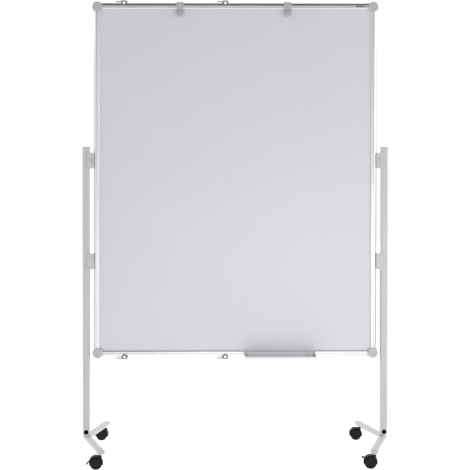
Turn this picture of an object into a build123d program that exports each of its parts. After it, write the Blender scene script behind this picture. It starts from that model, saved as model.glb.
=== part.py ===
from build123d import *
import os
from math import atan2, cos, degrees, hypot, radians, sin

# Rolling whiteboard: a portrait magnetic board held between two separate side stands.
# Millimetres. X to the right, Y to the back (the writing side faces -Y), Z up.
# The origin is on the floor, at the centre of the object's footprint.

os.makedirs("parts", exist_ok=True)

# ---------- driving dimensions ----------
# board
FRAME_HALF_WIDTH = 605.0
FRAME_BOTTOM = 420.0
FRAME_TOP = 1930.0
RAIL_WIDTH = 25.0
RAIL_FRONT = -29.0
RAIL_BACK = -3.0
PANEL_FRONT = -23.0
PANEL_BACK = -8.0
FRONT_SHEET = 0.5
REAR_SHEET = 0.3
SLOT_DEPTH = 8.0
BEAD_WIDTH = 13.0
GROOVE_WIDTH = 4.0
GROOVE_DEPTH = 4.0
LIP_CHAMFER = 2.5
CHAMBER_NEAR = 3.5
CHAMBER_FAR = 14.5
CHAMBER_FRONT = -22.0
CHAMBER_BACK = -10.0
LUG_HOLE_DEPTH = 10.0

# corner caps
CAP_RADIUS = 22.0
CAP_INSET = 17.0
CAP_FRONT = -33.0
CAP_BACK = 1.0
CAP_EDGE_ROUND = 3.0
CAP_ARM_REACH = 33.0
CAP_ARM_PROUD = 1.0
TENON_LENGTH = 28.0
TENON_GAP = 0.1

# badge
BADGE_CENTRE = (532.5, 1917.5)
BADGE_SIZE = (34.0, 10.5)
BADGE_ROUND = 1.0
BADGE_THICKNESS = 0.8

# stands: flat-oval tubes, the column behind the post
POST_CENTRE = 637.75
TUBE_WIDTH = 31.5
TUBE_DEPTH = 15.0
TUBE_WALL = 1.5
POST_FRONT = -26.0
POST_BACK = POST_FRONT + TUBE_DEPTH
COLUMN_BACK = POST_BACK + TUBE_DEPTH
POST_TOP = 1311.0
COLUMN_TOP = 824.0
TUBE_CAP_HEIGHT = 6.0
TUBE_CAP_PROUD = 0.75
SPIGOT_GAP = 0.2
SPIGOT_LENGTH = 12.0

# feet
ARM_WIDTH = 32.5
ARM_HEIGHT = 20.0
ARM_CENTRE_HEIGHT = 70.7
ARM_ENDS = {"front": (556.0, 250.0), "rear": (571.0, 250.8)}
PLUG_THICKNESS = 2.5
PLUG_SPIGOT = 8.0
ARM_BOTTOM = ARM_CENTRE_HEIGHT - ARM_HEIGHT / 2

# hangers
HANGER_INNER = 602.0
HANGER_OUTER = 632.0
HANGER_FRONT = -30.0
HANGER_CORNER = 9.0
HANGER_HEIGHT = 67.5
UPPER_HANGER_CENTRE = 1259.5
LOWER_HANGER_CENTRE = 828.5
FLANGE_THICKNESS = 2.5
HANGER_SLOT_X = 614.5
HANGER_RECESS = (25.0, 12.5)
HANGER_RECESS_DEPTH = 2.0
HANGER_SLOT = (19.0, 6.5)
SLIT_HEIGHT = 842.0
SLIT_REACH = 14.0
SLIT_WIDTH = 4.0
TONGUE_REACH = (4.0, 10.0)
TONGUE_GAP = 0.2
LUG_HALF_HEIGHT = 20.0
LUG_TAB_HALF = 9.5
LUG_OUTER = 618.5
LUG_TAB_BACK = -22.0
LUG_FLANGE = 3.0
LUG_BACK = -8.0
LUG_SCREW_OFFSET = 15.0
HANGER_SCREW_OFFSET = 26.0

# fasteners
SCREW_RADIUS = 2.0
SCREW_HEAD_RADIUS = 4.0
SCREW_HEAD_HEIGHT = 2.2
SCREW_LENGTH = 9.0
BOARD_BOLT_RADIUS = 3.0
BOARD_BOLT_HEAD = 5.5
BOARD_BOLT_LENGTH = 10.0
BOARD_BOLT_SUNK = 0.4
POST_BOLT_HEIGHT = 97.0
POST_BOLT_RADIUS = 4.0
POST_BOLT_HEAD = 10.3
POST_BOLT_HEAD_DEPTH = 3.5
POST_BOLT_ROUND = 1.5
POST_BOLT_TAIL = 7.0
POST_NUT_RADIUS = 7.0
NUT_HEIGHT = 5.0
POST_RING_RADIUS = 13.8
POST_RING_HEIGHT = 0.8
POST_RING_DEPTH = 3.8
COLUMN_SCREW_HEIGHT = 780.0
COLUMN_ACCESS_RADIUS = 4.5

# casters, in their own frame: x trails behind the stem, z up from the floor
STEM_Y = 236.0
CASTER_YAWS = {
    ("front", "left"): 5.0,
    ("front", "right"): -9.0,
    ("rear", "left"): -5.0,
    ("rear", "right"): -5.0,
}
TRAIL = 17.0
WHEEL_RADIUS = 25.0
WHEEL_INNER = 6.0
WHEEL_OUTER = 19.0
HUB_RADIUS = 20.5
HUB_DISH = 1.2
HUB_RIM = 0.4
TREAD_ROUND = 2.5
HOOD_RADIUS = 28.8
HOOD_WALL = 2.5
HOOD_HALF_WIDTH = 15.0
HOOD_LOW = 17.0
WEB_HALF = 5.5
AXLE_HUB_RADIUS = 9.0
SOCKET_LOW = 30.0
BOSS_LOW = 44.5
BOSS_RADIUS = 6.0
BOSS_TOP = 54.8
BOSS_FOOT_LOW = 48.5
BOSS_FOOT_RADIUS = 8.5
BOSS_FOOT_HEIGHT = 4.5
STEM_RADIUS = 4.0
STEM_BOTTOM = 34.0
STEM_TOP = 70.0
STEM_NUT_RADIUS = 6.5
STEM_NUT_GAP = 0.5
COLLAR_RADIUS = 5.5
COLLAR_GAP = 0.4
RUNNING_GAP = 0.06
AXLE_RADIUS = 3.0
AXLE_HALF = 17.0
AXLE_END_GAP = 0.5
PEDAL_PIVOT = (33.0, 28.3)
PEDAL_KNEE = (37.0, 41.0)
PEDAL_PAD = (43.5, 42.4)
PEDAL_TIP = (51.5, 43.4)
PEDAL_TRAVEL = 60.0
PEDAL_HALF = 3.9
PEDAL_PAD_HALF = 8.0
PEDAL_SLOT_HALF = 4.2
PEDAL_PIN_RADIUS = 1.5
PEDAL_HUB_RADIUS = 4.0
PEDAL_KNEE_RADIUS = 1.9
PEDAL_TIP_RADIUS = 2.4

# accessories on the rails
SLIDE_GAP = 0.5
LEG = 3.5
CATCH_HALF_HEIGHT = 1.6
CATCH_REACH = 3.0
HOOK_CENTRES = {"left": -236.0, "right": 222.0}
HOOK_HALF_WIDTH = 15.0
HOOK_TAPER_HEIGHT = 1901.0
HOOK_KNOB_HEIGHT = 1884.5
HOOK_END_RADIUS = 12.5
HOOK_KNOB_RADIUS = 10.5
HOOK_KNOB_DEPTH = 8.0
HOOK_KNOB_ROUND = 2.0
HOOK_TOP = 2.5
HOOK_BACK_LEG = 3.0
HOOK_BACK_REACH = 20.0
HOOK_CATCH_HALF = 10.0
HOOK_RIB_WIDTH = 4.0
HOOK_RIB_DEPTH = 2.0
HOOK_RIB_REACH = 16.0
PEG_RADIUS = 4.0
PEG_LENGTH = 10.0
CLIP_CENTRES = {"outer": -474.0, "inner": -43.0}
CLIP_HALF_WIDTH = 12.5
CLIP_STANDOFF = 10.0
CLIP_SHOULDER = 4.0
CLIP_TAB_RADIUS = 7.5
CLIP_TAB_DROP = 4.5
CLIP_BACK_REACH = 12.0
CLIP_SPOT = (13.0, 8.0)
CLIP_SPOT_DROP = 1.4
CLIP_SPOT_DEPTH = 1.0
CLIP_NOTCH_FLOOR = 2.5
CLIP_NOTCH_END = -3.0
CLIP_NOTCH_GAP = 0.3
LEVER_PIVOT_X = -8.0
LEVER_PIVOT_HEIGHT = 7.0
LEVER_PIN_RADIUS = 1.5
LEVER_HUB_RADIUS = 2.6
LEVER_HALF_THICKNESS = 1.5
LEVER_TIP = -36.5
LEVER_FRONT = -23.2
LEVER_BACK = -8.8
TRAY_LEFT = 38.0
TRAY_RIGHT = 341.0
TRAY_FRONT = -99.0
TRAY_WALL = 2.0
TRAY_LIFT = 1.0
TRAY_LIP_HEIGHT = 11.0
TRAY_CORNER = 4.0
TRAY_INNER_CORNER = 3.0
TRAY_BACK_HEIGHT = 20.0
TRAY_END_DROP = 4.0
TRAY_END_HEIGHT = 13.0
TRAY_END_BACK = (12.0, 22.0)
TRAY_HOOK_SPAN = (10.0, 32.0)
TRAY_HOOK_DEPTH = 6.0
TRAY_HOOK_HEIGHT = 23.0

# worked out
PANEL_HALF_WIDTH = FRAME_HALF_WIDTH - RAIL_WIDTH + SLOT_DEPTH
PANEL_LOW = FRAME_BOTTOM + RAIL_WIDTH - SLOT_DEPTH
PANEL_HIGH = FRAME_TOP - RAIL_WIDTH + SLOT_DEPTH
RAIL_END_X = FRAME_HALF_WIDTH - CAP_ARM_REACH
RAIL_END_LOW = FRAME_BOTTOM + CAP_ARM_REACH
RAIL_END_HIGH = FRAME_TOP - CAP_ARM_REACH
RAIL_MID = (RAIL_FRONT + RAIL_BACK) / 2
GROOVE_MID = BEAD_WIDTH + GROOVE_WIDTH / 2
TUBE_SIDE = TUBE_WIDTH / 2
POST_MID = (POST_FRONT + POST_BACK) / 2
COLUMN_MID = (POST_BACK + COLUMN_BACK) / 2
FRONT_LEG_BACK = RAIL_FRONT - SLIDE_GAP
FRONT_LEG_FRONT = FRONT_LEG_BACK - LEG
BACK_LEG_FRONT = RAIL_BACK + SLIDE_GAP
CATCH_BACK = RAIL_FRONT + CATCH_REACH
SIDES = {"left": -1, "right": 1}
ENDS = {"front": -1, "rear": 1}
LEVELS = {"bottom": -1, "top": 1}
LUG_HEIGHTS = (UPPER_HANGER_CENTRE, SLIT_HEIGHT)


# ---------- helpers ----------
def save(builder, name):
    """Label a finished piece and write its STEP."""
    builder.part.label = name
    export_step(builder.part, f"parts/{name}.step")


def upright(y):
    """Vertical plane at depth y, facing the front; local x is +X and local y is +Z."""
    return Plane.XZ.offset(-y)


def block(xs, ys, zs, mode=Mode.ADD):
    """Box between two corners, in the current part."""
    centre = ((xs[0] + xs[1]) / 2, (ys[0] + ys[1]) / 2, (zs[0] + zs[1]) / 2)
    with Locations(centre):
        Box(abs(xs[1] - xs[0]), abs(ys[1] - ys[0]), abs(zs[1] - zs[0]), mode=mode)


def rod(point, direction, radius, length, mode=Mode.ADD):
    """Round bar or hole that starts at a point and runs along a direction."""
    with Locations(Plane(origin=point, z_dir=direction)):
        Cylinder(radius, length, align=(Align.CENTER, Align.CENTER, Align.MIN), mode=mode)


def screw(point, direction):
    """Pan-head screw; the point is under the head, and the shank runs along the direction."""
    back = Vector(*direction) * -1
    rod(point, direction, SCREW_RADIUS, SCREW_LENGTH)
    rod(point, tuple(back), SCREW_HEAD_RADIUS, SCREW_HEAD_HEIGHT)


# ---------- board ----------
def board_layer(y_front, y_back):
    """One layer of the panel, edge to edge inside the frame's slots."""
    with BuildPart() as layer:
        block((-PANEL_HALF_WIDTH, PANEL_HALF_WIDTH), (y_front, y_back), (PANEL_LOW, PANEL_HIGH))
    return layer


save(board_layer(PANEL_FRONT, PANEL_FRONT + FRONT_SHEET), "writing_sheet")
save(board_layer(PANEL_FRONT + FRONT_SHEET, PANEL_BACK - REAR_SHEET), "panel_core")
save(board_layer(PANEL_BACK - REAR_SHEET, PANEL_BACK), "rear_sheet")


def rail_plane(name):
    """Section plane of a rail: local x runs inward from its outer edge, local y is +Y."""
    planes = {
        "top": Plane((-RAIL_END_X, 0, FRAME_TOP), x_dir=(0, 0, -1), z_dir=(1, 0, 0)),
        "bottom": Plane((RAIL_END_X, 0, FRAME_BOTTOM), x_dir=(0, 0, 1), z_dir=(-1, 0, 0)),
        "left": Plane((-FRAME_HALF_WIDTH, 0, RAIL_END_LOW), x_dir=(1, 0, 0), z_dir=(0, 0, 1)),
        "right": Plane((FRAME_HALF_WIDTH, 0, RAIL_END_HIGH), x_dir=(-1, 0, 0), z_dir=(0, 0, -1)),
    }
    return planes[name]


def rail(name, length):
    """Extruded rail: half-round bead, accessory groove, lip and slot for the panel."""
    groove_end = BEAD_WIDTH + GROOVE_WIDTH
    slot_floor = RAIL_WIDTH - SLOT_DEPTH
    chamber_centre = ((CHAMBER_NEAR + CHAMBER_FAR) / 2, (CHAMBER_FRONT + CHAMBER_BACK) / 2)
    with BuildPart() as piece:
        with BuildSketch(rail_plane(name)):
            with BuildLine():
                Polyline(
                    (BEAD_WIDTH, RAIL_BACK),
                    (RAIL_WIDTH, RAIL_BACK),
                    (RAIL_WIDTH, PANEL_BACK),
                    (slot_floor, PANEL_BACK),
                    (slot_floor, PANEL_FRONT),
                    (RAIL_WIDTH, PANEL_FRONT),
                    (RAIL_WIDTH, RAIL_FRONT + LIP_CHAMFER),
                    (RAIL_WIDTH - LIP_CHAMFER, RAIL_FRONT),
                    (groove_end, RAIL_FRONT),
                    (groove_end, RAIL_FRONT + GROOVE_DEPTH),
                    (BEAD_WIDTH, RAIL_FRONT + GROOVE_DEPTH),
                    (BEAD_WIDTH, RAIL_FRONT),
                )
                ThreePointArc((BEAD_WIDTH, RAIL_FRONT), (0, RAIL_MID), (BEAD_WIDTH, RAIL_BACK))
            make_face()
            with Locations(chamber_centre):
                Rectangle(
                    CHAMBER_FAR - CHAMBER_NEAR, CHAMBER_BACK - CHAMBER_FRONT, mode=Mode.SUBTRACT
                )
        extrude(amount=length)
        if name in SIDES:
            side = SIDES[name]
            for height in LUG_HEIGHTS:
                for offset in (-LUG_SCREW_OFFSET, LUG_SCREW_OFFSET):
                    rod(
                        (side * (FRAME_HALF_WIDTH + 1), RAIL_MID, height + offset),
                        (-side, 0, 0), SCREW_RADIUS, LUG_HOLE_DEPTH, mode=Mode.SUBTRACT,
                    )
    return piece


for level in LEVELS:
    save(rail(level, 2 * RAIL_END_X), f"rail_{level}")
for side_name in SIDES:
    save(rail(side_name, RAIL_END_HIGH - RAIL_END_LOW), f"rail_{side_name}")


def corner_cap(side, level):
    """Plastic corner: a round boss, two arms that meet the rails, and a tenon into each rail."""
    corner_x = side * FRAME_HALF_WIDTH
    corner_z = FRAME_TOP if level > 0 else FRAME_BOTTOM
    boss_x = corner_x - side * CAP_INSET
    boss_z = corner_z - level * CAP_INSET
    inner_x = corner_x - side * RAIL_WIDTH
    inner_z = corner_z - level * RAIL_WIDTH
    front = RAIL_FRONT - CAP_ARM_PROUD
    back = RAIL_BACK + CAP_ARM_PROUD
    arm_end_x = corner_x - side * CAP_ARM_REACH
    arm_end_z = corner_z - level * CAP_ARM_REACH
    far_x = boss_x - side * 2 * CAP_RADIUS
    far_z = boss_z - level * 2 * CAP_RADIUS
    level_arm = Plane((arm_end_x, 0, corner_z + level * CAP_ARM_PROUD),
                      x_dir=(0, 0, -level), z_dir=(level, 0, 0))
    upright_arm = Plane((corner_x + side * CAP_ARM_PROUD, 0, arm_end_z),
                        x_dir=(-side, 0, 0), z_dir=(0, 0, -side))
    with BuildPart() as cap:
        with BuildSketch(upright(CAP_BACK)):
            with Locations((boss_x, boss_z)):
                Circle(CAP_RADIUS)
        extrude(amount=CAP_BACK - CAP_FRONT)
        fillet(cap.edges().filter_by(GeomType.CIRCLE), CAP_EDGE_ROUND)
        for plane, reach in (
            (level_arm, side * level * (CAP_ARM_REACH - CAP_INSET)),
            (upright_arm, -side * level * (CAP_ARM_REACH - CAP_INSET)),
        ):
            with BuildSketch(plane):
                with BuildLine():
                    Polyline(
                        (BEAD_WIDTH, back),
                        (RAIL_WIDTH + CAP_ARM_PROUD, back),
                        (RAIL_WIDTH + CAP_ARM_PROUD, front),
                        (BEAD_WIDTH, front),
                    )
                    ThreePointArc((BEAD_WIDTH, front), (0, RAIL_MID), (BEAD_WIDTH, back))
                make_face()
            extrude(amount=reach)
        block((far_x, arm_end_x), (RAIL_FRONT, RAIL_BACK),
              (inner_z, corner_z + level * CAP_RADIUS), mode=Mode.SUBTRACT)
        block((inner_x, corner_x + side * CAP_RADIUS), (RAIL_FRONT, RAIL_BACK),
              (far_z, arm_end_z), mode=Mode.SUBTRACT)
        block((far_x, side * PANEL_HALF_WIDTH), (PANEL_FRONT, PANEL_BACK),
              (far_z, PANEL_HIGH if level > 0 else PANEL_LOW), mode=Mode.SUBTRACT)
        tenon_near = CHAMBER_NEAR + TENON_GAP
        tenon_far = CHAMBER_FAR - TENON_GAP
        tenon_ys = (CHAMBER_FRONT + TENON_GAP, CHAMBER_BACK - TENON_GAP)
        block(
            (arm_end_x - side * TENON_LENGTH, arm_end_x + side), tenon_ys,
            (corner_z - level * tenon_far, corner_z - level * tenon_near),
        )
        block(
            (corner_x - side * tenon_far, corner_x - side * tenon_near), tenon_ys,
            (arm_end_z - level * TENON_LENGTH, arm_end_z + level),
        )
    return cap


for level_name, level in LEVELS.items():
    for side_name, side in SIDES.items():
        save(corner_cap(side, level), f"corner_cap_{level_name}_{side_name}")

with BuildPart() as badge_plate:
    with BuildSketch(upright(RAIL_FRONT)):
        with Locations(BADGE_CENTRE):
            RectangleRounded(BADGE_SIZE[0], BADGE_SIZE[1], BADGE_ROUND)
    extrude(amount=BADGE_THICKNESS)
save(badge_plate, "badge_plate")


# ---------- feet ----------
def arm_run(end_name):
    """How far a foot arm runs sideways and in depth, from the apex to its outer end."""
    end_x, end_y = ARM_ENDS[end_name]
    return POST_CENTRE - end_x, end_y


def arm_plane(side, end_name):
    """Section plane of a foot arm at the apex; local x is level and local y is up."""
    sideways, depth = arm_run(end_name)
    run = (-side * sideways, ENDS[end_name] * depth, 0)
    across = (ENDS[end_name] * depth, side * sideways, 0)
    return Plane((side * POST_CENTRE, 0, ARM_CENTRE_HEIGHT), x_dir=across, z_dir=run)


def arm_length(end_name):
    """Length of a foot arm along its own line."""
    return hypot(*arm_run(end_name))


def stem_foot(side, end_name):
    """Place of a caster's stem in plan, on the line of its arm."""
    sideways, depth = arm_run(end_name)
    return (side * (POST_CENTRE - STEM_Y * sideways / depth), ENDS[end_name] * STEM_Y)


def arm_blank(side, end_name):
    """Solid flat-oval bar from the mitre at the apex to the arm's outer end."""
    with BuildPart() as blank:
        with BuildSketch(arm_plane(side, end_name).offset(-ARM_WIDTH / 2)):
            SlotOverall(ARM_WIDTH, ARM_HEIGHT)
        extrude(amount=arm_length(end_name) + ARM_WIDTH / 2)
        block((-2 * POST_CENTRE, 2 * POST_CENTRE), (0, -ENDS[end_name] * ARM_WIDTH),
              (0, 2 * ARM_CENTRE_HEIGHT), mode=Mode.SUBTRACT)
    return blank


def foot_arm(side, end_name):
    """Flat-oval tube with a hole for the caster's stem in its underside."""
    with BuildPart() as arm:
        add(arm_blank(side, end_name).part)
        with BuildSketch(arm_plane(side, end_name).offset(-ARM_WIDTH / 2)):
            SlotOverall(ARM_WIDTH - 2 * TUBE_WALL, ARM_HEIGHT - 2 * TUBE_WALL)
        extrude(amount=arm_length(end_name) + ARM_WIDTH / 2, mode=Mode.SUBTRACT)
        rod((*stem_foot(side, end_name), ARM_BOTTOM - 1), (0, 0, 1), STEM_RADIUS,
            TUBE_WALL + 2, mode=Mode.SUBTRACT)
    return arm


for side_name, side in SIDES.items():
    for end_name in ENDS:
        save(foot_arm(side, end_name), f"foot_arm_{end_name}_{side_name}")

with BuildPart() as foot_end_plugs:
    inset = 2 * (TUBE_WALL + SPIGOT_GAP)
    for side in SIDES.values():
        for end_name in ENDS:
            end_plane = arm_plane(side, end_name).offset(arm_length(end_name))
            with BuildSketch(end_plane):
                SlotOverall(ARM_WIDTH, ARM_HEIGHT)
            extrude(amount=PLUG_THICKNESS)
            with BuildSketch(end_plane):
                SlotOverall(ARM_WIDTH - inset, ARM_HEIGHT - inset)
            extrude(amount=-PLUG_SPIGOT)
save(foot_end_plugs, "foot_end_plugs")


# ---------- stands ----------
def tube(side, mid_y, low, high):
    """Upright flat-oval tube on one side."""
    with BuildSketch(Plane.XY.offset(low)) as ring:
        with Locations((side * POST_CENTRE, mid_y)):
            SlotOverall(TUBE_WIDTH, TUBE_DEPTH)
            SlotOverall(TUBE_WIDTH - 2 * TUBE_WALL, TUBE_DEPTH - 2 * TUBE_WALL,
                        mode=Mode.SUBTRACT)
    extrude(ring.sketch, amount=high - low)


def post(side):
    """Front tube: its foot is rounded about the bolt, where it carries a raised ring."""
    centre_x = side * POST_CENTRE
    with BuildPart() as piece:
        tube(side, POST_MID, POST_BOLT_HEIGHT - TUBE_SIDE, POST_TOP)
        with BuildSketch(upright(POST_BACK)):
            with Locations((centre_x, POST_BOLT_HEIGHT)):
                Rectangle(TUBE_WIDTH, TUBE_SIDE, align=(Align.CENTER, Align.MAX))
                Circle(TUBE_SIDE, mode=Mode.SUBTRACT)
        extrude(amount=TUBE_DEPTH, mode=Mode.SUBTRACT)
        ring_front = (centre_x, POST_FRONT - POST_RING_HEIGHT, POST_BOLT_HEIGHT)
        rod(ring_front, (0, 1, 0), POST_RING_RADIUS, POST_RING_DEPTH)
        rod(ring_front, (0, 1, 0), POST_BOLT_HEAD, POST_RING_HEIGHT, mode=Mode.SUBTRACT)
        rod(ring_front, (0, 1, 0), POST_BOLT_RADIUS, 2 * TUBE_DEPTH, mode=Mode.SUBTRACT)
        rod((centre_x, POST_BACK + 1, COLUMN_SCREW_HEIGHT), (0, -1, 0), SCREW_RADIUS,
            TUBE_WALL + 2, mode=Mode.SUBTRACT)
        for hanger_height in (UPPER_HANGER_CENTRE, LOWER_HANGER_CENTRE):
            for offset_z in (-HANGER_SCREW_OFFSET, HANGER_SCREW_OFFSET):
                rod((centre_x - side * (TUBE_SIDE + 1), POST_MID, hanger_height + offset_z),
                    (side, 0, 0), SCREW_RADIUS, TUBE_WALL + 2, mode=Mode.SUBTRACT)
    return piece


def foot_column(side):
    """Short tube behind the post, coped over the two foot arms."""
    centre_x = side * POST_CENTRE
    with BuildPart() as piece:
        tube(side, COLUMN_MID, ARM_CENTRE_HEIGHT, COLUMN_TOP)
        for end_name in ENDS:
            add(arm_blank(side, end_name).part, mode=Mode.SUBTRACT)
        rod((centre_x, POST_BACK - 1, POST_BOLT_HEIGHT), (0, 1, 0), POST_BOLT_RADIUS,
            TUBE_DEPTH + 2, mode=Mode.SUBTRACT)
        rod((centre_x, POST_BACK - 1, COLUMN_SCREW_HEIGHT), (0, 1, 0), SCREW_RADIUS,
            TUBE_WALL + 2, mode=Mode.SUBTRACT)
        rod((centre_x, COLUMN_BACK - TUBE_WALL - 1, COLUMN_SCREW_HEIGHT), (0, 1, 0),
            COLUMN_ACCESS_RADIUS, TUBE_WALL + 2, mode=Mode.SUBTRACT)
    return piece


def tube_cap(side, mid_y, height, depth):
    """Cap with a spigot, on top of a post or a column."""
    inset = 2 * (TUBE_WALL + SPIGOT_GAP)
    with BuildSketch(Plane.XY.offset(height)) as lid:
        with Locations((side * POST_CENTRE, mid_y)):
            SlotOverall(TUBE_WIDTH + 2 * TUBE_CAP_PROUD, depth)
    extrude(lid.sketch, amount=TUBE_CAP_HEIGHT)
    with BuildSketch(Plane.XY.offset(height)) as spigot:
        with Locations((side * POST_CENTRE, mid_y)):
            SlotOverall(TUBE_WIDTH - inset, TUBE_DEPTH - inset)
    extrude(spigot.sketch, amount=-SPIGOT_LENGTH)


for side_name, side in SIDES.items():
    save(post(side), f"post_{side_name}")
    save(foot_column(side), f"foot_column_{side_name}")

with BuildPart() as tube_caps:
    for side in SIDES.values():
        tube_cap(side, POST_MID, POST_TOP, TUBE_DEPTH + 2 * TUBE_CAP_PROUD)
        tube_cap(side, COLUMN_MID, COLUMN_TOP, TUBE_DEPTH)
save(tube_caps, "tube_caps")


# ---------- hangers ----------
def hanger(side, centre_z, upper):
    """Front plate that reaches from the post to the board's edge, with a flange on the post."""
    mid_x = side * (HANGER_INNER + HANGER_OUTER) / 2
    flange_near = side * (POST_CENTRE - TUBE_SIDE)
    flange_far = flange_near - side * FLANGE_THICKNESS
    flange_span = (centre_z - HANGER_HEIGHT / 2, centre_z + HANGER_HEIGHT / 2)
    with BuildPart() as plate:
        with BuildSketch(upright(POST_FRONT)) as outline:
            with Locations((mid_x, centre_z)):
                Rectangle(HANGER_OUTER - HANGER_INNER, HANGER_HEIGHT)
            columns = outline.vertices().group_by(Axis.X)
            fillet(columns[0] if side > 0 else columns[-1], HANGER_CORNER)
        extrude(amount=POST_FRONT - HANGER_FRONT)
        block((flange_near, flange_far), (POST_FRONT, POST_BACK), flange_span)
        for offset_z in (-HANGER_SCREW_OFFSET, HANGER_SCREW_OFFSET):
            rod((flange_far - side, POST_MID, centre_z + offset_z), (side, 0, 0),
                SCREW_RADIUS, FLANGE_THICKNESS + 2, mode=Mode.SUBTRACT)
        if upper:
            with BuildSketch(upright(HANGER_FRONT)):
                with Locations((side * HANGER_SLOT_X, centre_z)):
                    SlotOverall(*HANGER_RECESS, rotation=90)
            extrude(amount=-HANGER_RECESS_DEPTH, mode=Mode.SUBTRACT)
            with BuildSketch(upright(HANGER_FRONT)):
                with Locations((side * HANGER_SLOT_X, centre_z)):
                    SlotOverall(*HANGER_SLOT, rotation=90)
            extrude(amount=HANGER_FRONT - POST_FRONT, mode=Mode.SUBTRACT)
        else:
            block((side * (HANGER_INNER - 1), side * (HANGER_INNER + SLIT_REACH)),
                  (HANGER_FRONT - 1, POST_FRONT),
                  (SLIT_HEIGHT - SLIT_WIDTH / 2, SLIT_HEIGHT + SLIT_WIDTH / 2),
                  mode=Mode.SUBTRACT)
    return plate


for side_name, side in SIDES.items():
    save(hanger(side, UPPER_HANGER_CENTRE, True), f"upper_hanger_{side_name}")
    save(hanger(side, LOWER_HANGER_CENTRE, False), f"lower_hanger_{side_name}")

with BuildPart() as board_lugs:
    for side in SIDES.values():
        for height in LUG_HEIGHTS:
            near = side * FRAME_HALF_WIDTH
            flange_outer = near + side * LUG_FLANGE
            span = (height - LUG_HALF_HEIGHT, height + LUG_HALF_HEIGHT)
            block((near + side, side * LUG_OUTER), (POST_FRONT, LUG_TAB_BACK),
                  (height - LUG_TAB_HALF, height + LUG_TAB_HALF))
            block((near, flange_outer), (LUG_TAB_BACK, LUG_BACK), span)
            for offset_z in (-LUG_SCREW_OFFSET, LUG_SCREW_OFFSET):
                rod((flange_outer + side, RAIL_MID, height + offset_z), (-side, 0, 0),
                    SCREW_RADIUS, LUG_FLANGE + 2, mode=Mode.SUBTRACT)
            if height == UPPER_HANGER_CENTRE:
                rod((side * HANGER_SLOT_X, POST_FRONT - 1, height), (0, 1, 0),
                    BOARD_BOLT_RADIUS, LUG_TAB_BACK - POST_FRONT + 2, mode=Mode.SUBTRACT)
            else:
                tongue = SLIT_WIDTH / 2 - TONGUE_GAP
                block((near + side * TONGUE_REACH[0], near + side * TONGUE_REACH[1]),
                      (HANGER_FRONT + 1, POST_FRONT), (height - tongue, height + tongue))
save(board_lugs, "board_lugs")

with BuildPart() as board_bolts:
    seat = HANGER_FRONT + HANGER_RECESS_DEPTH
    for side in SIDES.values():
        centre = (side * HANGER_SLOT_X, seat, UPPER_HANGER_CENTRE)
        rod(centre, (0, 1, 0), BOARD_BOLT_RADIUS, BOARD_BOLT_LENGTH)
        rod(centre, (0, -1, 0), BOARD_BOLT_HEAD, HANGER_RECESS_DEPTH - BOARD_BOLT_SUNK)
save(board_bolts, "board_bolts")

with BuildPart() as frame_screws:
    for side in SIDES.values():
        flange_face = side * (POST_CENTRE - TUBE_SIDE - FLANGE_THICKNESS)
        lug_face = side * (FRAME_HALF_WIDTH + LUG_FLANGE)
        for centre_z in (UPPER_HANGER_CENTRE, LOWER_HANGER_CENTRE):
            for offset_z in (-HANGER_SCREW_OFFSET, HANGER_SCREW_OFFSET):
                screw((flange_face, POST_MID, centre_z + offset_z), (side, 0, 0))
        for centre_z in LUG_HEIGHTS:
            for offset_z in (-LUG_SCREW_OFFSET, LUG_SCREW_OFFSET):
                screw((lug_face, RAIL_MID, centre_z + offset_z), (-side, 0, 0))
        screw((side * POST_CENTRE, POST_BACK + TUBE_WALL, COLUMN_SCREW_HEIGHT), (0, -1, 0))
save(frame_screws, "frame_screws")

with BuildPart() as post_bolts:
    for side in SIDES.values():
        head = (side * POST_CENTRE, POST_FRONT, POST_BOLT_HEIGHT)
        rod(head, (0, 1, 0), POST_BOLT_RADIUS, COLUMN_BACK - POST_FRONT + POST_BOLT_TAIL)
        rod(head, (0, -1, 0), POST_BOLT_HEAD, POST_BOLT_HEAD_DEPTH)
        with BuildSketch(upright(COLUMN_BACK)):
            with Locations((side * POST_CENTRE, POST_BOLT_HEIGHT)):
                RegularPolygon(POST_NUT_RADIUS, 6)
        extrude(amount=-NUT_HEIGHT)
    front_rims = post_bolts.edges().filter_by(GeomType.CIRCLE).group_by(Axis.Y)[0]
    fillet(front_rims, POST_BOLT_ROUND)
save(post_bolts, "post_bolts")


# ---------- casters ----------
with BuildPart() as caster_stems:
    for side in SIDES.values():
        for end_name in ENDS:
            foot = stem_foot(side, end_name)
            rod((*foot, STEM_BOTTOM), (0, 0, 1), STEM_RADIUS, STEM_TOP - STEM_BOTTOM)
            rod((*foot, BOSS_TOP + COLLAR_GAP), (0, 0, 1), COLLAR_RADIUS,
                ARM_BOTTOM - BOSS_TOP - COLLAR_GAP)
            with BuildSketch(Plane.XY.offset(ARM_BOTTOM + TUBE_WALL + STEM_NUT_GAP)):
                with Locations(foot):
                    RegularPolygon(STEM_NUT_RADIUS, 6)
            extrude(amount=NUT_HEIGHT)
save(caster_stems, "caster_stems")


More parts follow.
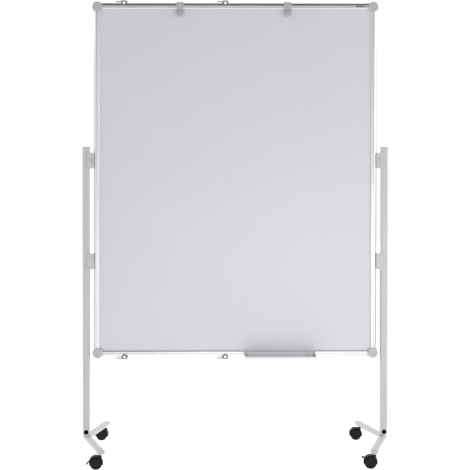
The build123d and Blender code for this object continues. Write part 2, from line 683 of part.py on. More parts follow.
def caster_hood(braked):
    """Swivelling body: fenders over both wheels, a web between them and a boss for the stem."""
    with BuildPart() as hood:
        with BuildSketch(Plane.XZ):
            with Locations((TRAIL, WHEEL_RADIUS)):
                Circle(HOOD_RADIUS)
                Circle(HOOD_RADIUS - HOOD_WALL, mode=Mode.SUBTRACT)
            with Locations((TRAIL, HOOD_LOW)):
                Rectangle(2 * HOOD_RADIUS, HOOD_RADIUS,
                          align=(Align.CENTER, Align.MAX), mode=Mode.SUBTRACT)
        extrude(amount=HOOD_HALF_WIDTH, both=True)
        with BuildSketch(Plane.XZ):
            with Locations((TRAIL, WHEEL_RADIUS)):
                Circle(HOOD_RADIUS - 1)
            with Locations((TRAIL, HOOD_LOW)):
                Rectangle(2 * HOOD_RADIUS, HOOD_RADIUS,
                          align=(Align.CENTER, Align.MAX), mode=Mode.SUBTRACT)
            with Locations((TRAIL, WHEEL_RADIUS)):
                Circle(AXLE_HUB_RADIUS)
        extrude(amount=WEB_HALF, both=True)
        rod((0, 0, SOCKET_LOW), (0, 0, 1), WEB_HALF, BOSS_TOP - SOCKET_LOW)
        rod((0, 0, BOSS_LOW), (0, 0, 1), BOSS_RADIUS, BOSS_TOP - BOSS_LOW)
        with Locations((0, 0, BOSS_FOOT_LOW)):
            Cone(BOSS_FOOT_RADIUS, BOSS_RADIUS, BOSS_FOOT_HEIGHT,
                 align=(Align.CENTER, Align.CENTER, Align.MIN))
        rod((0, 0, STEM_BOTTOM - 1), (0, 0, 1), STEM_RADIUS + RUNNING_GAP,
            BOSS_TOP - STEM_BOTTOM + 2, mode=Mode.SUBTRACT)
        rod((TRAIL, -WEB_HALF - 1, WHEEL_RADIUS), (0, 1, 0), AXLE_RADIUS,
            2 * WEB_HALF + 2, mode=Mode.SUBTRACT)
        if braked:
            block((PEDAL_PIVOT[0] - PEDAL_HUB_RADIUS - 1, 2 * HOOD_RADIUS),
                  (-PEDAL_SLOT_HALF, PEDAL_SLOT_HALF), (0, 2 * HOOD_RADIUS), mode=Mode.SUBTRACT)
            rod((PEDAL_PIVOT[0], -WEB_HALF, PEDAL_PIVOT[1]), (0, 1, 0), PEDAL_PIN_RADIUS,
                2 * WEB_HALF)
    return hood


def caster_wheel(face):
    """One of the twin wheels, on the side that face gives, with a blind bore for the axle."""
    inner = face * WHEEL_INNER
    outer = face * WHEEL_OUTER
    dish = face * (WHEEL_OUTER - HUB_DISH)
    rim = face * (WHEEL_OUTER - HUB_RIM)
    profile_plane = Plane((TRAIL, 0, WHEEL_RADIUS), x_dir=(0, 0, 1), z_dir=(-1, 0, 0))
    with BuildPart() as wheel:
        with BuildSketch(profile_plane):
            with BuildLine():
                Polyline(
                    (0, inner),
                    (WHEEL_RADIUS - TREAD_ROUND, inner),
                    (WHEEL_RADIUS, inner + face * TREAD_ROUND),
                    (WHEEL_RADIUS, outer - face * TREAD_ROUND),
                    (WHEEL_RADIUS - TREAD_ROUND, outer),
                    (HUB_RADIUS + 1, outer),
                    (HUB_RADIUS, dish),
                    (HUB_RADIUS - 2, rim),
                    (0, rim),
                    (0, inner),
                )
            make_face()
        revolve(axis=Axis((TRAIL, 0, WHEEL_RADIUS), (0, 1, 0)))
        rod((TRAIL, 0, WHEEL_RADIUS), (0, face, 0), AXLE_RADIUS + RUNNING_GAP,
            AXLE_HALF + AXLE_END_GAP, mode=Mode.SUBTRACT)
    return wheel


def turned(point, angle):
    """A point of the pedal's side view, turned down about the pivot by an angle."""
    run = point[0] - PEDAL_PIVOT[0]
    rise = point[1] - PEDAL_PIVOT[1]
    reach = hypot(run, rise)
    heading = degrees(atan2(rise, run)) - angle
    return (PEDAL_PIVOT[0] + reach * cos(radians(heading)),
            PEDAL_PIVOT[1] + reach * sin(radians(heading)))


def link(start, end, start_radius, end_radius, half_width):
    """Straight bar with round ends in the side view."""
    with BuildSketch(Plane.XZ) as bar:
        with Locations(start):
            Circle(start_radius)
        with Locations(end):
            Circle(end_radius)
        make_hull()
    extrude(bar.sketch, amount=half_width, both=True)


def brake_pedal(angle):
    """Bent lever on the hood's pin, with a wider pad outside the fender."""
    knee = turned(PEDAL_KNEE, angle)
    pad = turned(PEDAL_PAD, angle)
    tip = turned(PEDAL_TIP, angle)
    with BuildPart() as pedal:
        link(PEDAL_PIVOT, knee, PEDAL_HUB_RADIUS, PEDAL_KNEE_RADIUS, PEDAL_HALF)
        link(knee, pad, PEDAL_KNEE_RADIUS, PEDAL_KNEE_RADIUS, PEDAL_HALF)
        link(pad, tip, PEDAL_KNEE_RADIUS, PEDAL_TIP_RADIUS, PEDAL_PAD_HALF)
        rod((PEDAL_PIVOT[0], -PEDAL_HALF - 1, PEDAL_PIVOT[1]), (0, 1, 0),
            PEDAL_PIN_RADIUS + RUNNING_GAP, 2 * PEDAL_HALF + 2, mode=Mode.SUBTRACT)
    return pedal


def placed(piece, place):
    """A copy of a caster's piece, moved to its foot."""
    with BuildPart() as copy:
        with Locations(place):
            add(piece.part)
    return copy


with BuildPart() as axle:
    rod((TRAIL, -AXLE_HALF, WHEEL_RADIUS), (0, 1, 0), AXLE_RADIUS, 2 * AXLE_HALF)

hoods = {"front": caster_hood(True), "rear": caster_hood(False)}
wheels = {"near": caster_wheel(1), "far": caster_wheel(-1)}
pedals = {"left": brake_pedal(PEDAL_TRAVEL), "right": brake_pedal(0.0)}
for (end_name, side_name), yaw in CASTER_YAWS.items():
    place = Location((*stem_foot(SIDES[side_name], end_name), 0), (0, 0, 180 + yaw))
    corner = f"{end_name}_{side_name}"
    save(placed(hoods[end_name], place), f"caster_hood_{corner}")
    save(placed(axle, place), f"caster_axle_{corner}")
    for wheel_name, wheel in wheels.items():
        save(placed(wheel, place), f"wheel_{wheel_name}_{corner}")
    if end_name == "front":
        save(placed(pedals[side_name], place), f"brake_pedal_{side_name}")


# ---------- accessories ----------
def paper_hook(centre_x):
    """Pad hook over the top rail: tapered front leg with a knob and a peg, and a back leg."""
    back_leg_back = BACK_LEG_FRONT + HOOK_BACK_LEG
    top_low = FRAME_TOP + SLIDE_GAP
    top_high = top_low + HOOK_TOP
    xs = (centre_x - HOOK_HALF_WIDTH, centre_x + HOOK_HALF_WIDTH)
    groove_z = FRAME_TOP - GROOVE_MID
    with BuildPart() as hook:
        with BuildSketch(upright(FRONT_LEG_BACK)) as leg:
            with Locations((centre_x, HOOK_TAPER_HEIGHT)):
                Rectangle(2 * HOOK_HALF_WIDTH, top_high - HOOK_TAPER_HEIGHT,
                          align=(Align.CENTER, Align.MIN))
            with Locations((centre_x, HOOK_KNOB_HEIGHT)):
                Circle(HOOK_END_RADIUS)
            make_hull()
        extrude(leg.sketch, amount=LEG)
        block(xs, (FRONT_LEG_FRONT, back_leg_back), (top_low, top_high))
        block(xs, (BACK_LEG_FRONT, back_leg_back), (FRAME_TOP - HOOK_BACK_REACH, top_high))
        block((centre_x - HOOK_CATCH_HALF, centre_x + HOOK_CATCH_HALF),
              (FRONT_LEG_BACK, CATCH_BACK),
              (groove_z - CATCH_HALF_HEIGHT, groove_z + CATCH_HALF_HEIGHT))
        for edge in (-1, 1):
            outer = centre_x + edge * HOOK_HALF_WIDTH
            block((outer, outer - edge * HOOK_RIB_WIDTH),
                  (FRONT_LEG_FRONT - HOOK_RIB_DEPTH, FRONT_LEG_FRONT),
                  (top_high - HOOK_RIB_REACH, top_high))
        rod((centre_x, FRONT_LEG_FRONT, HOOK_KNOB_HEIGHT), (0, -1, 0), HOOK_KNOB_RADIUS,
            HOOK_KNOB_DEPTH)
        rim = hook.edges().filter_by(GeomType.CIRCLE).group_by(Axis.Y)[0]
        fillet(rim, HOOK_KNOB_ROUND)
        rod((centre_x, FRONT_LEG_FRONT - HOOK_KNOB_DEPTH, HOOK_KNOB_HEIGHT), (0, -1, 0),
            PEG_RADIUS, PEG_LENGTH)
    return hook


def clip_body(centre_x, level):
    """Clip over a rail, with a tapered front tab, a raised spot and a notch for its lever."""
    rail_z = FRAME_TOP if level > 0 else FRAME_BOTTOM

    def height(distance):
        return rail_z + level * distance

    back_leg_back = BACK_LEG_FRONT + LEG
    xs = (centre_x - CLIP_HALF_WIDTH, centre_x + CLIP_HALF_WIDTH)
    shoulder_z = (height(CLIP_SHOULDER) + height(CLIP_STANDOFF)) / 2
    with BuildPart() as body:
        with BuildSketch(upright(FRONT_LEG_BACK)) as tab:
            with Locations((centre_x, shoulder_z)):
                Rectangle(2 * CLIP_HALF_WIDTH, CLIP_STANDOFF - CLIP_SHOULDER)
            with Locations((centre_x, height(-CLIP_TAB_DROP))):
                Circle(CLIP_TAB_RADIUS)
            make_hull()
        extrude(tab.sketch, amount=LEG)
        block(xs, (FRONT_LEG_BACK, back_leg_back), (height(SLIDE_GAP), height(CLIP_STANDOFF)))
        block(xs, (BACK_LEG_FRONT, back_leg_back),
              (height(-CLIP_BACK_REACH), height(CLIP_STANDOFF)))
        with BuildSketch(upright(FRONT_LEG_FRONT)) as spot:
            with Locations((centre_x, height(-CLIP_SPOT_DROP))):
                SlotOverall(*CLIP_SPOT)
        extrude(spot.sketch, amount=CLIP_SPOT_DEPTH)
        block((xs[0] - 1, centre_x + CLIP_NOTCH_END),
              (LEVER_FRONT - CLIP_NOTCH_GAP, LEVER_BACK + CLIP_NOTCH_GAP),
              (height(CLIP_NOTCH_FLOOR), height(CLIP_STANDOFF + 1)), mode=Mode.SUBTRACT)
        rod((centre_x + LEVER_PIVOT_X, LEVER_FRONT - 1, height(LEVER_PIVOT_HEIGHT)), (0, 1, 0),
            LEVER_PIN_RADIUS, LEVER_BACK - LEVER_FRONT + 2)
    return body


def clip_lever(centre_x, level):
    """Thin lever that turns on the clip's pin."""
    rail_z = FRAME_TOP if level > 0 else FRAME_BOTTOM
    pivot_x = centre_x + LEVER_PIVOT_X
    pivot_z = rail_z + level * LEVER_PIVOT_HEIGHT
    tip_x = centre_x + LEVER_TIP + LEVER_HALF_THICKNESS
    width = LEVER_BACK - LEVER_FRONT
    with BuildPart() as lever:
        rod((pivot_x, LEVER_FRONT, pivot_z), (0, 1, 0), LEVER_HUB_RADIUS, width)
        block((tip_x, pivot_x), (LEVER_FRONT, LEVER_BACK),
              (pivot_z - LEVER_HALF_THICKNESS, pivot_z + LEVER_HALF_THICKNESS))
        rod((tip_x, LEVER_FRONT, pivot_z), (0, 1, 0), LEVER_HALF_THICKNESS, width)
        rod((pivot_x, LEVER_FRONT - 1, pivot_z), (0, 1, 0), LEVER_PIN_RADIUS + RUNNING_GAP,
            width + 2, mode=Mode.SUBTRACT)
    return lever


for side_name, centre_x in HOOK_CENTRES.items():
    save(paper_hook(centre_x), f"paper_hook_{side_name}")
for level_name, level in LEVELS.items():
    for place_name, centre_x in CLIP_CENTRES.items():
        save(clip_body(centre_x, level), f"clip_body_{level_name}_{place_name}")
        save(clip_lever(centre_x, level), f"clip_lever_{level_name}_{place_name}")

with BuildPart() as pen_tray:
    low = FRAME_BOTTOM + TRAY_LIFT
    floor_top = low + TRAY_WALL
    lip_top = low + TRAY_LIP_HEIGHT
    back_top = low + TRAY_BACK_HEIGHT
    lip_back = TRAY_FRONT + TRAY_WALL
    groove_z = FRAME_BOTTOM + GROOVE_MID
    with BuildSketch(Plane.YZ.offset(TRAY_LEFT)):
        with BuildLine():
            Polyline(
                (FRONT_LEG_BACK, back_top),
                (FRONT_LEG_BACK, low),
                (TRAY_FRONT + TRAY_CORNER, low),
                (TRAY_FRONT, low + TRAY_CORNER),
                (TRAY_FRONT, lip_top),
                (lip_back, lip_top),
                (lip_back, floor_top + TRAY_INNER_CORNER),
                (lip_back + TRAY_INNER_CORNER, floor_top),
                (FRONT_LEG_BACK - TRAY_WALL, floor_top),
                (FRONT_LEG_BACK - TRAY_WALL, back_top),
                (FRONT_LEG_BACK, back_top),
            )
        make_face()
    extrude(amount=TRAY_RIGHT - TRAY_LEFT)
    for end_x, inward in ((TRAY_LEFT, 1), (TRAY_RIGHT, -1)):
        end_span = (end_x, end_x + inward * TRAY_WALL)
        end_top = low + TRAY_END_HEIGHT
        ear_depth, ear_top = TRAY_END_BACK
        block(end_span, (TRAY_FRONT, FRONT_LEG_BACK), (low - TRAY_END_DROP, end_top))
        block(end_span, (FRONT_LEG_BACK - ear_depth, FRONT_LEG_BACK), (end_top, low + ear_top))
        hook_span = (end_x + inward * TRAY_HOOK_SPAN[0], end_x + inward * TRAY_HOOK_SPAN[1])
        block(hook_span, (FRONT_LEG_BACK - TRAY_HOOK_DEPTH, FRONT_LEG_BACK),
              (floor_top, low + TRAY_HOOK_HEIGHT))
        block(hook_span, (FRONT_LEG_BACK, CATCH_BACK),
              (groove_z - CATCH_HALF_HEIGHT, groove_z + CATCH_HALF_HEIGHT))
save(pen_tray, "pen_tray")
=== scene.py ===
import math

import bpy
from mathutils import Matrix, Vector

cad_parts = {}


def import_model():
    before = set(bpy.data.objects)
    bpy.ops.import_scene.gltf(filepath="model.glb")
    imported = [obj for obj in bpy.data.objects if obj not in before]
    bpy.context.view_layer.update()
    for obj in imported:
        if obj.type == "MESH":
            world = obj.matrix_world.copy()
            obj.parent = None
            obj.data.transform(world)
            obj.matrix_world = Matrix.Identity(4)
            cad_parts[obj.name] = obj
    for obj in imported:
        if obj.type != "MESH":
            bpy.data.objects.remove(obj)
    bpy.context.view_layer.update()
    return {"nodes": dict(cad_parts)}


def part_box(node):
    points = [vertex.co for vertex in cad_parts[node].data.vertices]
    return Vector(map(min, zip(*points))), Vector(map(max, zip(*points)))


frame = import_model()
nodes = frame["nodes"]

CORNERS = ("front_left", "front_right", "rear_left", "rear_right")
SIDES = {"left": -1, "right": 1}
MM = 0.001
WHITE = (1.0, 1.0, 1.0, 1.0)


# ---------- shader helpers ----------
def linear(red, green, blue):
    """Colour values of 0 to 255, as a display shows them, to the linear values of a shader."""
    def channel(value):
        share = value / 255
        return share / 12.92 if share <= 0.04045 else ((share + 0.055) / 1.055) ** 2.4
    return (channel(red), channel(green), channel(blue), 1.0)


class Finish:
    """A node material whose constants sit on the shader's own sockets."""

    def __init__(self, name, roughness, metallic=0.0, coat=0.0, coat_roughness=0.1, specular=0.5):
        self.material = bpy.data.materials.new(name)
        self.material.use_nodes = True
        self.tree = self.material.node_tree
        self.shader = self.tree.nodes["Principled BSDF"]
        self.shader.inputs["Roughness"].default_value = roughness
        self.shader.inputs["Metallic"].default_value = metallic
        self.shader.inputs["Coat Weight"].default_value = coat
        self.shader.inputs["Coat Roughness"].default_value = coat_roughness
        self.shader.inputs["Specular IOR Level"].default_value = specular
        self.height = None

    def add(self, kind, **values):
        """New node, with the values set on its inputs or, failing those, on the node itself."""
        node = self.tree.nodes.new(kind)
        for key, value in values.items():
            if key in node.inputs:
                node.inputs[key].default_value = value
            else:
                setattr(node, key, value)
        return node

    def link(self, source, target):
        self.tree.links.new(source, target)

    def place(self, stretch=(1, 1, 1)):
        """Object coordinates, squeezed by a factor along each axis."""
        coordinates = self.add("ShaderNodeTexCoord")
        mapping = self.add("ShaderNodeMapping")
        mapping.inputs["Scale"].default_value = stretch
        self.link(coordinates.outputs["Object"], mapping.inputs["Vector"])
        return mapping.outputs["Vector"]

    def noise(self, scale, detail=3.0, stretch=(1, 1, 1), roughness=0.5):
        """Noise value of 0 to 1 that stays with the object."""
        node = self.add("ShaderNodeTexNoise", Scale=scale, Detail=detail, Roughness=roughness)
        self.link(self.place(stretch), node.inputs["Vector"])
        return node.outputs["Fac"]

    def spread(self, value, low, high, low_out, high_out):
        """The value, moved from the range low to high into the range low_out to high_out."""
        node = self.add("ShaderNodeMapRange")
        node.inputs["From Min"].default_value = low
        node.inputs["From Max"].default_value = high
        node.inputs["To Min"].default_value = low_out
        node.inputs["To Max"].default_value = high_out
        self.link(value, node.inputs["Value"])
        return node.outputs["Result"]

    def colours(self, value, dark, light, low=0.35, high=0.65):
        """Base colour that runs from dark to light as a noise value rises."""
        ramp = self.add("ShaderNodeValToRGB")
        ramp.color_ramp.elements[0].position = low
        ramp.color_ramp.elements[0].color = dark
        ramp.color_ramp.elements[1].position = high
        ramp.color_ramp.elements[1].color = light
        self.link(value, ramp.inputs["Fac"])
        self.link(ramp.outputs["Color"], self.shader.inputs["Base Color"])
        return self

    def rough(self, value, low_out, high_out):
        """Roughness that follows a noise value."""
        self.link(self.spread(value, 0.3, 0.7, low_out, high_out), self.shader.inputs["Roughness"])
        return self

    def bump(self, value, strength, distance):
        """Surface relief, laid over any relief given before."""
        node = self.add("ShaderNodeBump", Strength=strength, Distance=distance)
        self.link(value, node.inputs["Height"])
        if self.height is not None:
            self.link(self.height, node.inputs["Normal"])
        self.height = node.outputs["Normal"]
        self.link(self.height, self.shader.inputs["Normal"])
        return self


def tinted(colour, factor):
    """The same colour, darker or lighter by a factor."""
    return tuple(channel * factor for channel in colour[:3]) + (1.0,)


# ---------- materials ----------
# depths of surface relief
HAIRLINE = 0.1 * MM
FINE = 0.2 * MM
COARSE = 0.3 * MM
ROUGH_CUT = 0.4 * MM
# a turn of the anisotropy, as a share of a whole turn
QUARTER_TURN = 0.25


def enamel():
    """Writing surface: smooth enamel, faintly mottled, with wiping marks in its gloss."""
    finish = Finish("enamel", 0.42, coat=0.12, coat_roughness=0.3)
    base = linear(198, 196, 201)
    finish.colours(finish.noise(scale=2.2, detail=4.0), tinted(base, 0.985), base)
    wiped = finish.noise(scale=5.0, detail=5.0, stretch=(0.5, 1.0, 2.6))
    finish.rough(wiped, low_out=0.38, high_out=0.47)
    finish.bump(finish.noise(scale=420.0, detail=2.0), strength=0.06, distance=FINE)
    return finish.material


def anodised(name, stretch, length):
    """Anodised extrusion: fine drawn lines along its length, which spread its glints across."""
    finish = Finish(name, 0.34, metallic=1.0)
    base = linear(224, 222, 224)
    finish.shader.inputs["Anisotropic"].default_value = 0.6
    finish.shader.inputs["Anisotropic Rotation"].default_value = QUARTER_TURN
    along = finish.add("ShaderNodeCombineXYZ", X=length[0], Y=length[1], Z=length[2])
    finish.link(along.outputs["Vector"], finish.shader.inputs["Tangent"])
    lines = finish.noise(scale=260.0, detail=4.0, stretch=stretch, roughness=0.6)
    finish.colours(lines, tinted(base, 0.94), base)
    finish.rough(lines, low_out=0.27, high_out=0.4)
    finish.bump(lines, strength=0.12, distance=FINE)
    return finish.material


def moulded(name, colour, roughness, grain=0.18, specular=0.45):
    """Moulded plastic: spark-eroded grain and a little cloudiness."""
    finish = Finish(name, roughness, specular=specular)
    cloud = finish.noise(scale=38.0, detail=3.0)
    finish.colours(cloud, tinted(colour, 0.94), tinted(colour, 1.03))
    gloss = finish.noise(scale=90.0, detail=2.0)
    finish.rough(gloss, low_out=roughness - 0.05, high_out=roughness + 0.06)
    finish.bump(finish.noise(scale=1500.0, detail=2.0), strength=grain, distance=FINE)
    return finish.material


def clip_plastic_painted_shade(name, painted_shade_height, pale_height):
    """Clip body: a pale plate over the rail's edge, with painted shade as a darker grey on its
    front tab.
    """
    finish = Finish(name, 0.45)
    axes = finish.add("ShaderNodeSeparateXYZ")
    finish.link(finish.place(), axes.inputs["Vector"])
    shade = finish.add("ShaderNodeMath", operation="ADD")
    height = finish.spread(axes.outputs["Z"], painted_shade_height, pale_height, 0.0, 1.0)
    finish.link(height, shade.inputs[0])
    cloud = finish.noise(scale=38.0, detail=3.0)
    finish.link(finish.spread(cloud, 0.3, 0.7, -0.06, 0.06), shade.inputs[1])
    # the darker grey is painted shade on the clip's front tab, the paler grey is the clip's own
    # colour
    dark, pale = linear(112, 110, 111), linear(156, 154, 156)
    finish.colours(shade.outputs["Value"], dark, pale, low=0.1, high=0.9)
    finish.rough(finish.noise(scale=90.0, detail=2.0), low_out=0.4, high_out=0.52)
    finish.bump(finish.noise(scale=1500.0, detail=2.0), strength=0.18, distance=FINE)
    return finish.material


def powder(name, colour):
    """Powder coat: soft gloss and a fine orange peel."""
    finish = Finish(name, 0.42, coat=0.12, coat_roughness=0.25)
    cloud = finish.noise(scale=9.0, detail=3.0)
    finish.colours(cloud, tinted(colour, 0.975), tinted(colour, 1.01))
    finish.rough(finish.noise(scale=30.0, detail=3.0), low_out=0.37, high_out=0.47)
    peel = finish.noise(scale=520.0, detail=2.0, roughness=0.6)
    finish.bump(peel, strength=0.16, distance=COARSE)
    return finish.material


def plated(name, colour, roughness):
    """Zinc-plated steel: clouded, with a fine tooth."""
    finish = Finish(name, roughness, metallic=1.0)
    finish.colours(finish.noise(scale=160.0, detail=3.0), tinted(colour, 0.8), colour)
    gloss = finish.noise(scale=220.0, detail=3.0)
    finish.rough(gloss, low_out=roughness - 0.08, high_out=roughness + 0.1)
    finish.bump(finish.noise(scale=1800.0, detail=2.0), strength=0.1, distance=HAIRLINE)
    return finish.material


def rubber():
    """Soft tread: dull black, dusty in places."""
    finish = Finish("tread_rubber", 0.75, specular=0.18)
    dust = finish.noise(scale=55.0, detail=5.0, roughness=0.65)
    finish.colours(dust, linear(9, 9, 10), linear(24, 23, 24), low=0.45, high=0.85)
    finish.rough(dust, low_out=0.62, high_out=0.82)
    finish.bump(finish.noise(scale=900.0, detail=3.0), strength=0.25, distance=COARSE)
    return finish.material


def board_edge():
    """Raw fibreboard of the panel's core."""
    finish = Finish("fibreboard", 0.85)
    chips = finish.noise(scale=320.0, detail=5.0)
    finish.colours(chips, linear(140, 112, 80), linear(186, 158, 118))
    finish.bump(finish.noise(scale=600.0, detail=4.0), strength=0.4, distance=ROUGH_CUT)
    return finish.material


ENAMEL = enamel()
REAR_ENAMEL = powder("rear_enamel", linear(196, 196, 199))
RAIL_LEVEL = anodised("anodised_level", stretch=(0.02, 1.0, 1.0), length=(1.0, 0.0, 0.0))
RAIL_UPRIGHT = anodised("anodised_upright", stretch=(1.0, 1.0, 0.02), length=(0.0, 0.0, 1.0))
CORNER_GREY = moulded("corner_grey", linear(172, 170, 173), 0.48)
CAP_GREY = moulded("cap_grey", linear(176, 172, 173), 0.5)
HOOK_GREY = moulded("hook_grey", linear(168, 166, 170), 0.45)
# a clip is pale this far in from its outer edge, and past the blend it turns a darker grey that is
# painted shade
CLIP_EDGE = 6.0 * MM
CLIP_BLEND = 1.5 * MM
TOP_CLIP_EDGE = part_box("clip_body_top_inner")[1].z - CLIP_EDGE
LOW_CLIP_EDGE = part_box("clip_body_bottom_inner")[0].z + CLIP_EDGE
# each clip takes painted shade as a darker grey on the side of its tab away from the edge
CLIP_TOP = clip_plastic_painted_shade("clip_top", TOP_CLIP_EDGE - CLIP_BLEND, TOP_CLIP_EDGE)
CLIP_LOW = clip_plastic_painted_shade("clip_low", LOW_CLIP_EDGE + CLIP_BLEND, LOW_CLIP_EDGE)
LEVER_GREY = moulded("lever_grey", linear(168, 165, 162), 0.45)
SPOT_WHITE = moulded("spot_white", linear(236, 236, 236), 0.4, grain=0.08)
POWDER = powder("powder_coat", linear(182, 180, 181))
RING_PALE = powder("ring_pale", linear(226, 225, 222))
TRAY = powder("tray_coat", linear(205, 206, 209))
ZINC = plated("zinc_plate", linear(196, 197, 200), 0.34)
BADGE = plated("badge_plate_metal", linear(150, 158, 168), 0.3)
BLACK_BOLT = moulded("bolt_black", linear(5, 5, 6), 0.6, grain=0.1, specular=0.05)
CASTER_BLACK = moulded("caster_black", linear(14, 14, 15), 0.45, grain=0.12, specular=0.3)
HUB_BLACK = moulded("hub_black", linear(16, 16, 17), 0.55, grain=0.12, specular=0.2)
TREAD = rubber()
FIBREBOARD = board_edge()

NODE_FINISH = (
    ("writing_sheet", ENAMEL),
    ("panel_core", FIBREBOARD),
    ("rear_sheet", REAR_ENAMEL),
    ("rail_top", RAIL_LEVEL),
    ("rail_bottom", RAIL_LEVEL),
    ("rail_left", RAIL_UPRIGHT),
    ("rail_right", RAIL_UPRIGHT),
    ("corner_cap", CORNER_GREY),
    ("badge_plate", BADGE),
    ("post_bolts", BLACK_BOLT),
    ("post_", POWDER),
    ("foot_end_plugs", CAP_GREY),
    ("tube_caps", CAP_GREY),
    ("foot_", POWDER),
    ("upper_hanger", POWDER),
    ("lower_hanger", POWDER),
    ("board_lugs", ZINC),
    ("board_bolts", ZINC),
    ("frame_screws", ZINC),
    ("caster_stems", ZINC),
    ("caster_axle", ZINC),
    ("caster_hood", CASTER_BLACK),
    ("brake_pedal", CASTER_BLACK),
    ("wheel_", HUB_BLACK),
    ("paper_hook", HOOK_GREY),
    ("clip_body_top", CLIP_TOP),
    ("clip_body_bottom", CLIP_LOW),
    ("clip_lever", LEVER_GREY),
    ("pen_tray", TRAY),
)


def finish_of(name):
    """The first finish in the list whose start fits the node's name."""
    return next(material for start, material in NODE_FINISH if name.startswith(start))


for name, node in nodes.items():
    node.data.materials.clear()
    node.data.materials.append(finish_of(name))


def second_finish(node, material, wanted):
    """Give the faces whose centre passes the test a second material."""
    node.data.materials.append(material)
    for polygon in node.data.polygons:
        if wanted(polygon.center):
            polygon.material_index = 1


def centre_of(name):
    """Middle of a node's box."""
    low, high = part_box(name)
    return (low + high) / 2


# faces of a wheel outside this radius are its tread
HUB_RADIUS = 20.3 * MM
# the upper hangers stand this far in front of the posts
HANGER_PROUD = 4.0 * MM
# faces this far in front of a post are its ring, and this near a clip's front are its spot
RING_START = 0.1 * MM
SPOT_DEPTH = 0.9 * MM

for corner in CORNERS:
    for side in ("near", "far"):
        name = f"wheel_{side}_{corner}"
        hub = centre_of(f"caster_axle_{corner}")
        axis = (centre_of(name) - hub).normalized()

        def on_tread(point, hub=hub, axis=axis):
            out = point - hub
            return (out - axis * out.dot(axis)).length > HUB_RADIUS

        second_finish(nodes[name], TREAD, on_tread)

for side in SIDES:
    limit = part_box(f"upper_hanger_{side}")[0].y + HANGER_PROUD - RING_START
    second_finish(nodes[f"post_{side}"], RING_PALE, lambda point, y=limit: point.y < y)

for name in nodes:
    if name.startswith("clip_body"):
        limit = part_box(name)[0].y + SPOT_DEPTH
        second_finish(nodes[name], SPOT_WHITE, lambda point, y=limit: point.y < y)


# ---------- soft edges on the carried-over parts ----------
# widths in millimetres, by the start of a node's name
BEVELS = (
    ("rail_", 0.15),
    ("corner_cap", 0.6),
    ("paper_hook", 0.5),
    ("clip_", 0.45),
    ("pen_tray", 0.4),
    ("upper_hanger", 0.6),
    ("lower_hanger", 0.6),
    ("tube_caps", 1.0),
    ("caster_hood", 0.5),
    ("brake_pedal", 0.6),
)
BEVEL_SEGMENTS = 2
BEVEL_ANGLE = math.radians(40)


def soften(node, width):
    """Small rounded edges by a bevel modifier, which leaves the CAD mesh as it is."""
    bevel = node.modifiers.new("soft_edges", "BEVEL")
    bevel.width = width * MM
    bevel.segments = BEVEL_SEGMENTS
    bevel.limit_method = "ANGLE"
    bevel.angle_limit = BEVEL_ANGLE
    bevel.use_clamp_overlap = True
    bevel.harden_normals = False


for name, node in nodes.items():
    for start, width in BEVELS:
        if name.startswith(start):
            soften(node, width)


# ---------- floor, light and camera ----------
# how bright the surroundings are by the height of a direction, in front and behind
FRONT_LEVELS = ((0.03, 1.0), (0.14, 0.58), (0.3, 0.36), (0.6, 0.18), (0.87, 0.08))
BACK_LEVELS = ((0.0, 1.0), (0.45, 1.0), (0.87, 0.12))
# where the front turns into the back, and where the sides turn white
FRONT_TO_BACK = (-0.25, 0.1)
SIDES_TO_WHITE = (0.18, 0.5)
FLOOR_SIZE = 30
FLOOR_GLOW = 0.72


def floor():
    """Plain pale floor, with a glow that keeps it as white as the background."""
    bpy.ops.mesh.primitive_plane_add(size=FLOOR_SIZE, location=(0, 0, 0))
    plane = bpy.context.object
    plane.name = "studio_floor"
    finish = Finish("studio_floor", 0.9, specular=0.1)
    finish.colours(finish.noise(scale=1.5), linear(204, 204, 204), linear(207, 207, 207))
    finish.shader.inputs["Emission Color"].default_value = WHITE
    finish.shader.inputs["Emission Strength"].default_value = FLOOR_GLOW
    plane.data.materials.append(finish.material)


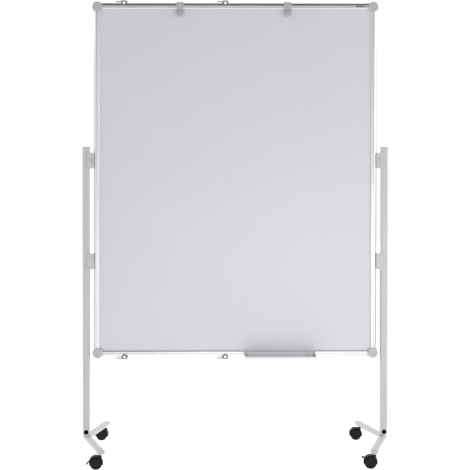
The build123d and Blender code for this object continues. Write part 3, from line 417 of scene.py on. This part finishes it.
def world():
    """White low down and to the sides, darker overhead for the level rails to reflect."""
    sky = bpy.data.worlds.new("studio")
    bpy.context.scene.world = sky
    sky.use_nodes = True
    tree = sky.node_tree

    def part(kind, **settings):
        node = tree.nodes.new(kind)
        for key, value in settings.items():
            setattr(node, key, value)
        return node

    def fade(value, low, high):
        node = part("ShaderNodeMapRange", interpolation_type="SMOOTHSTEP")
        node.inputs["From Min"].default_value = low
        node.inputs["From Max"].default_value = high
        tree.links.new(value, node.inputs["Value"])
        return node.outputs["Result"]

    def ramp(value, levels):
        node = part("ShaderNodeValToRGB")
        stops = node.color_ramp.elements
        while len(stops) < len(levels):
            stops.new(1.0)
        for stop, (height, level) in zip(stops, levels):
            stop.position = height
            stop.color = (level, level, level, 1.0)
        tree.links.new(value, node.inputs["Fac"])
        return node.outputs["Color"]

    def mix(share, first, second=None):
        node = part("ShaderNodeMixRGB")
        tree.links.new(share, node.inputs["Fac"])
        tree.links.new(first, node.inputs["Color1"])
        node.inputs["Color2"].default_value = WHITE
        if second is not None:
            tree.links.new(second, node.inputs["Color2"])
        return node.outputs["Color"]

    direction = part("ShaderNodeTexCoord")
    axes = part("ShaderNodeSeparateXYZ")
    tree.links.new(direction.outputs["Generated"], axes.inputs["Vector"])
    sideways = part("ShaderNodeMath", operation="ABSOLUTE")
    tree.links.new(axes.outputs["X"], sideways.inputs[0])
    front = ramp(axes.outputs["Z"], FRONT_LEVELS)
    back = ramp(axes.outputs["Z"], BACK_LEVELS)
    level = mix(fade(axes.outputs["Y"], *FRONT_TO_BACK), front, back)
    level = mix(fade(sideways.outputs["Value"], *SIDES_TO_WHITE), level)
    background = tree.nodes["Background"]
    tree.links.new(level, background.inputs["Color"])
    background.inputs["Strength"].default_value = 1.0


def soft_light(name, place, aim, size, power):
    """Rectangular lamp that shines from a place at an aim and isn't itself seen."""
    lamp = bpy.data.lights.new(name, "AREA")
    lamp.shape = "RECTANGLE"
    lamp.size, lamp.size_y = size
    lamp.energy = power
    holder = bpy.data.objects.new(name, lamp)
    bpy.context.scene.collection.objects.link(holder)
    holder.location = place
    holder.visible_camera = False
    holder.rotation_euler = (Vector(aim) - Vector(place)).to_track_quat("-Z", "Y").to_euler()


floor()
world()
soft_light("low_front", place=(0.5, -1.7, 0.7), aim=(0.1, 0.0, 0.6), size=(1.8, 0.7), power=6)
for side, sign in SIDES.items():
    soft_light(f"foot_{side}", place=(1.6 * sign, 0.35, 2.3), aim=(0.6 * sign, 0.0, 0.1),
               size=(0.7, 0.7), power=26)
soft_light("right_front", place=(2.4, -1.2, 1.7), aim=(0.6, 0.0, 1.5), size=(0.8, 0.8), power=7)

CAMERA_PLACE = (-0.2015, -4.4705, 1.1784)
CAMERA_PITCH = math.radians(0.729)
CAMERA_TURN = math.radians(0.471)
CAMERA_SHIFT = (0.0814, -0.09)
SENSOR = 36.0
# focal length as a share of the sensor's width
FOCAL_SHARE = 2.2156
LEVEL = math.radians(90)


def look():
    """Camera in front of the board, a little left of its middle and nearly level."""
    lens = bpy.data.cameras.new("camera")
    lens.sensor_width = SENSOR
    lens.lens = SENSOR * FOCAL_SHARE
    lens.shift_x, lens.shift_y = CAMERA_SHIFT
    camera = bpy.data.objects.new("camera", lens)
    bpy.context.scene.collection.objects.link(camera)
    camera.location = CAMERA_PLACE
    camera.rotation_euler = (LEVEL - CAMERA_PITCH, 0, -CAMERA_TURN)
    bpy.context.scene.camera = camera
    bpy.context.scene.view_settings.view_transform = "Standard"


look()
